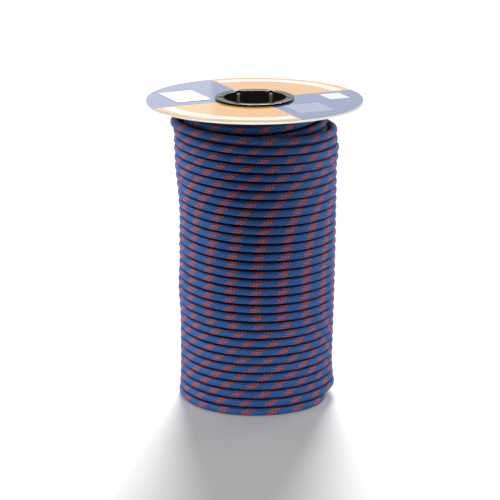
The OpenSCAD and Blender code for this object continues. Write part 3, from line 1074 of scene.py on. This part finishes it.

# %% [markdown]
# ## What each piece stands for
# Nothing on a reel moves against the rest, so every piece rides on the one body.

# %% Bodies and replaced solids
stands_for = [
    (rope, ("rope_inner_layers", "rope_outer_upper", "rope_outer_lower"), "rope_sheath"),
    (tube, ("core_tube",), "brown_board"),
    (flange, ("top_flange",), "white_board"),
    (top_hub, ("top_hub",), "black_plastic"),
    (bottom_hub, ("bottom_hub",), "black_plastic"),
    (sticker, ("write_on_sticker",), "sticker_paper"),
    (band, ("rope_end_band",), "shrink_band"),
    (tip, ("rope_end_tip",), "sealed_tip")]
for piece, nodes, slot in stands_for:
    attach(piece, "root")
    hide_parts(*nodes)
print(len(stands_for), "pieces replace", sum(len(row[1]) for row in stands_for), "solids")

# %% [markdown]
# ## The studio
# The reel stands on a table of white paper that also glows from below, as in a
# catalogue studio, so the paper turns pure white round a soft grey shadow. The glow is
# masked off under the reel itself, or it would leak out from beneath the lowest turn.
# Stronger lamps could whiten a plain sheet too, but they would also wash out the shadow.

# %% Floor
HALF = 9
GLOW = 0.26
MASK_R, MASK_EDGE_R = 0.078, 0.086
floor_mesh = bpy.data.meshes.new("paper_floor")
floor_mesh.from_pydata(
    [(-HALF, -HALF, 0), (HALF, -HALF, 0), (HALF, HALF, 0), (-HALF, HALF, 0)], [], [(0, 1, 2, 3)])
floor = new_object("paper_floor", floor_mesh)
floor_paper, tree, shader = new_finish(
    "white_paper_floor", Roughness=0.9, Base_Color=(0.8, 0.8, 0.8, 1), Emission_Color=(1, 1, 1, 1))
from_axis = add_node(
    tree, "ShaderNodeVectorMath", 1, {"operation": "LENGTH"}, Vector=object_place(tree))
glow = fade(tree, from_axis, MASK_R, MASK_EDGE_R, 0, GLOW)
tree.links.new(glow, shader.inputs["Emission Strength"])
dress(floor, floor_paper)
print("floor laid")

# %% [markdown]
# ### The lamps
# A broad lamp high behind the reel throws the soft shadow forwards. Screens far behind
# give the label's gloss something bright to mirror, and one on each side, a little
# behind, draws light along the edges of the winding. The turns themselves are lit from
# both sides by screens set high and cards set low, with one more card at the foot.
# Black flags keep a lamp's light off the pieces named last in its row, which have light
# enough, so the winding, the label and the paper are each lit to their own measure. A
# narrow card in front lights nothing but the flange's rim. The room adds a dim fill.

# %% Lamps
world = bpy.data.worlds.new("studio_room")
bpy.context.scene.world = world
world.use_nodes = True
room = world.node_tree.nodes["Background"]
room.inputs["Color"].default_value = (1, 1, 1, 1)
room.inputs["Strength"].default_value = 0.06


def aim(lamp, target):
    """Turns a lamp so that it shines at a point."""
    way = np.array(target) - np.array(lamp.location)
    tilt = math.acos(-way[2] / np.linalg.norm(way))
    lamp.rotation_euler = (tilt, 0, math.atan2(way[1], way[0]) - math.pi / 2)


def add_lamp(name, kind, place, target, energy, **settings):
    """A lamp at a place, aimed at a target, that the camera can't see."""
    data = bpy.data.lights.new(name, kind)
    data.energy = energy
    for key, value in settings.items():
        setattr(data, key, value)
    lamp = new_object(name, data)
    lamp.visible_camera = False
    lamp.location = place
    aim(lamp, target)
    return lamp


def flag_off(lamp, shaded):
    """Keeps a lamp's own light off some pieces, as a black flag beside it would."""
    group = bpy.data.collections.new(lamp.name + "_flags")
    for piece in shaded:
        group.objects.link(piece)
    for entry in group.collection_objects:
        entry.light_linking.link_state = "EXCLUDE"
    lamp.light_linking.receiver_collection = group


def light_only(lamp, lit):
    """Lets a lamp light one piece alone."""
    group = bpy.data.collections.new(lamp.name + "_lights")
    group.objects.link(lit)
    lamp.light_linking.receiver_collection = group


MIDDLE = (0, 0, 0.17)
RIM = (0, 0, 0.34)
LOW = (0, 0, 0.12)
FOOT = (0, 0, 0.04)
TABLE_AND_TOP = (floor, flange, label, sticker, top_hub)
screens = [
    # name, place, target, watts, width, height, pieces it is kept off
    ("screen_behind", (0, 3.0, 1.3), RIM, 11.5, 3.0, 1.2, ()),
    ("screen_behind_left", (-0.85, 2.98, 1.3), (-0.85, 0, 0.34), 2.0, 1.5, 1.2, ()),
    ("edge_left", (-1.3, 1.3, 0.5), MIDDLE, 7, 1.0, 1.0, (flange,)),
    ("edge_right", (1.3, 1.3, 0.5), MIDDLE, 9, 1.0, 1.0, (flange,)),
    ("screen_left", (-1.0, 0.25, 1.15), MIDDLE, 32, 0.6, 0.6, TABLE_AND_TOP),
    ("card_left", (-1.1, 0.1, 0.06), LOW, 9.5, 0.5, 0.1, TABLE_AND_TOP),
    ("card_right", (1.1, 0.1, 0.06), LOW, 5, 0.5, 0.1, TABLE_AND_TOP),
    ("card_front", (0, -0.3, 0.02), FOOT, 0.6, 0.3, 0.03, TABLE_AND_TOP),
    ("screen_right", (1.0, 0.1, 1.1), MIDDLE, 20, 0.6, 0.6, TABLE_AND_TOP),
    ("card_for_rim", (0, -1.6, 0.34), RIM, 9.5, 0.8, 0.1, ()),
    ("screen_top", (0, 0.2, 1.5), MIDDLE, 9, 1.0, 0.6, (floor, rope)),
    ("screen_front", (0, -1.3, 1.5), MIDDLE, 8, 0.8, 0.8, (floor, rope, label, sticker))]
add_lamp("sun_behind", "SUN", (0.08, 1.6, 1.2), MIDDLE, 4.5, angle=math.radians(19))
for name, place, target, watts, wide, high, shaded in screens:
    lamp = add_lamp(name, "AREA", place, target, watts, shape="RECTANGLE", size=wide, size_y=high)
    if shaded:
        flag_off(lamp, shaded)
    if name == "card_for_rim":
        light_only(lamp, flange)
